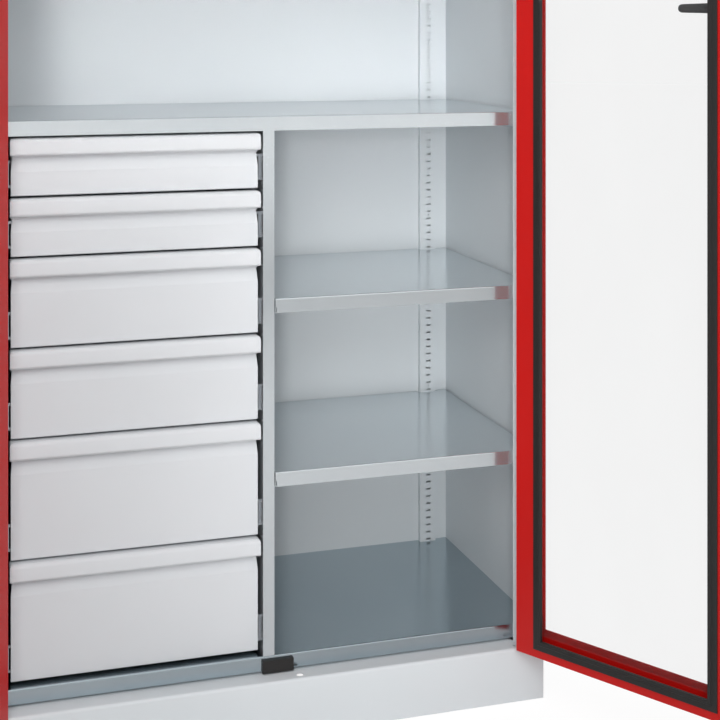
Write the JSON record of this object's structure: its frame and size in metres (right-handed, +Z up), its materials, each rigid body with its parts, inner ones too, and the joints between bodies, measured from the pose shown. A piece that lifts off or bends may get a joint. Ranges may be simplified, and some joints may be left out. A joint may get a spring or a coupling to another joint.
{
  "type": "heavy-duty storage cabinet",
  "caption": "Sheet-steel storage cabinet with drawers beside shelves under a full-width shelf, slotted uprights, and hinged doors with red frames, clear panes and rod locking.",
  "frame": {"origin": "on the floor, in the middle of the foot under the plinth's front", "axes": "+X to the right seen from the front, +Y from the doors to the back panel, +Z up"},
  "size_m": [1.394, 0.9115, 1.95],
  "materials": {
    "carcass_grey": "satin powder coat",
    "shelf_grey": "smooth zinc, mirroring",
    "drawer_grey": "satin powder coat",
    "door_red": "satin powder coat",
    "clear_pane": "clear acrylic",
    "black_rubber": "matt",
    "zinc_steel": "zinc plated",
    "hinge_steel": "zinc plated",
    "black_plastic": "fine grain",
    "chrome_lock": "polished"
  },
  "bodies": {
    "carcass": {"side_left": "carcass_grey", "side_right": "carcass_grey", "rear_upright_left": "carcass_grey", "rear_upright_right": "carcass_grey", "front_uprights": "carcass_grey", "back_panel": "carcass_grey", "top_panel": "carcass_grey", "plinth_front": "carcass_grey", "header_front": "carcass_grey", "divider_panel": "shelf_grey", "drawer_mounting_panel": "carcass_grey", "floor_panel": "shelf_grey", "upper_shelf": "shelf_grey", "top_shelf": "shelf_grey", "half_shelf_lower": "shelf_grey", "half_shelf_upper": "shelf_grey", "shelf_supports": "zinc_steel", "door_stop": "black_rubber", "slide_fixed_rails": "zinc_steel", "hinge_knuckles_fixed": "hinge_steel"},
    "door_left": {"door_frame_left": "door_red", "window_left": "clear_pane", "door_seal_left": "black_rubber", "hinge_knuckles_left": "hinge_steel"},
    "door_right": {"door_frame_right": "door_red", "window_right": "clear_pane", "door_seal_right": "black_rubber", "hinge_knuckles_right": "hinge_steel", "meeting_strip": "door_red", "lock_case": "zinc_steel", "handle_plate": "black_plastic"},
    "handle": {"swivel_handle": "black_plastic"},
    "lock_cylinder": {"lock_cylinder": "chrome_lock"},
    "rod_upper": {"rod_upper": "zinc_steel"},
    "rod_lower": {"rod_lower": "zinc_steel"},
    "drawer_1": {"drawer_1_front": "drawer_grey", "drawer_1_box": "drawer_grey", "drawer_1_inner_rails": "zinc_steel"},
    "drawer_1_mid": {"drawer_1_mid_rails": "zinc_steel"},
    "drawer_2": {"drawer_2_front": "drawer_grey", "drawer_2_box": "drawer_grey", "drawer_2_inner_rails": "zinc_steel"},
    "drawer_2_mid": {"drawer_2_mid_rails": "zinc_steel"},
    "drawer_3": {"drawer_3_front": "drawer_grey", "drawer_3_box": "drawer_grey", "drawer_3_inner_rails": "zinc_steel"},
    "drawer_3_mid": {"drawer_3_mid_rails": "zinc_steel"},
    "drawer_4": {"drawer_4_front": "drawer_grey", "drawer_4_box": "drawer_grey", "drawer_4_inner_rails": "zinc_steel"},
    "drawer_4_mid": {"drawer_4_mid_rails": "zinc_steel"},
    "drawer_5": {"drawer_5_front": "drawer_grey", "drawer_5_box": "drawer_grey", "drawer_5_inner_rails": "zinc_steel"},
    "drawer_5_mid": {"drawer_5_mid_rails": "zinc_steel"},
    "drawer_6": {"drawer_6_front": "drawer_grey", "drawer_6_box": "drawer_grey", "drawer_6_inner_rails": "zinc_steel"},
    "drawer_6_mid": {"drawer_6_mid_rails": "zinc_steel"}
  },
  "joints": [
    {"name": "door_left_hinge", "type": "hinge", "parent": "carcass", "child": "door_left", "pos_m": [-0.46225, -0.015, 0], "axis": [0, 0, -1], "range_deg": [-120, 0]},
    {"name": "door_right_hinge", "type": "hinge", "parent": "carcass", "child": "door_right", "pos_m": [0.46225, -0.015, 0], "axis": [0, 0, 1], "range_deg": [-120, 0]},
    {"name": "handle_turn", "type": "hinge", "parent": "door_right", "child": "handle", "pos_m": [0.66838, -0.37202, 1.24], "axis": [-0.866, -0.5, 0], "range_deg": [0, 90]},
    {"name": "lock_cylinder_turn", "type": "hinge", "parent": "door_right", "child": "lock_cylinder", "pos_m": [0.66838, -0.37202, 1.192], "axis": [-0.866, -0.5, 0], "range_deg": [0, 90]},
    {"name": "rod_upper_slide", "type": "slide", "parent": "door_right", "child": "rod_upper", "axis": [0, 0, 1], "range_m": [0, 0.02]},
    {"name": "rod_lower_slide", "type": "slide", "parent": "door_right", "child": "rod_lower", "axis": [0, 0, -1], "range_m": [0, 0.02]},
    {"name": "drawer_1_slide", "type": "slide", "parent": "carcass", "child": "drawer_1", "axis": [0, -1, 0], "range_m": [0, 0.38]},
    {"name": "drawer_1_mid_slide", "type": "slide", "parent": "carcass", "child": "drawer_1_mid", "axis": [0, -1, 0], "range_m": [0, 0.19]},
    {"name": "drawer_2_slide", "type": "slide", "parent": "carcass", "child": "drawer_2", "axis": [0, -1, 0], "range_m": [0, 0.38]},
    {"name": "drawer_2_mid_slide", "type": "slide", "parent": "carcass", "child": "drawer_2_mid", "axis": [0, -1, 0], "range_m": [0, 0.19]},
    {"name": "drawer_3_slide", "type": "slide", "parent": "carcass", "child": "drawer_3", "axis": [0, -1, 0], "range_m": [0, 0.38]},
    {"name": "drawer_3_mid_slide", "type": "slide", "parent": "carcass", "child": "drawer_3_mid", "axis": [0, -1, 0], "range_m": [0, 0.19]},
    {"name": "drawer_4_slide", "type": "slide", "parent": "carcass", "child": "drawer_4", "axis": [0, -1, 0], "range_m": [0, 0.38]},
    {"name": "drawer_4_mid_slide", "type": "slide", "parent": "carcass", "child": "drawer_4_mid", "axis": [0, -1, 0], "range_m": [0, 0.19]},
    {"name": "drawer_5_slide", "type": "slide", "parent": "carcass", "child": "drawer_5", "axis": [0, -1, 0], "range_m": [0, 0.38]},
    {"name": "drawer_5_mid_slide", "type": "slide", "parent": "carcass", "child": "drawer_5_mid", "axis": [0, -1, 0], "range_m": [0, 0.19]},
    {"name": "drawer_6_slide", "type": "slide", "parent": "carcass", "child": "drawer_6", "axis": [0, -1, 0], "range_m": [0, 0.38]},
    {"name": "drawer_6_mid_slide", "type": "slide", "parent": "carcass", "child": "drawer_6_mid", "axis": [0, -1, 0], "range_m": [0, 0.19]}
  ],
  "couplings": [
    {"joint": "rod_upper_slide", "follows": "handle_turn", "m_per_rad": 0.012732},
    {"joint": "rod_lower_slide", "follows": "handle_turn", "m_per_rad": 0.012732},
    {"joint": "drawer_1_mid_slide", "follows": "drawer_1_slide", "ratio": 0.5},
    {"joint": "drawer_2_mid_slide", "follows": "drawer_2_slide", "ratio": 0.5},
    {"joint": "drawer_3_mid_slide", "follows": "drawer_3_slide", "ratio": 0.5},
    {"joint": "drawer_4_mid_slide", "follows": "drawer_4_slide", "ratio": 0.5},
    {"joint": "drawer_5_mid_slide", "follows": "drawer_5_slide", "ratio": 0.5},
    {"joint": "drawer_6_mid_slide", "follows": "drawer_6_slide", "ratio": 0.5}
  ]
}
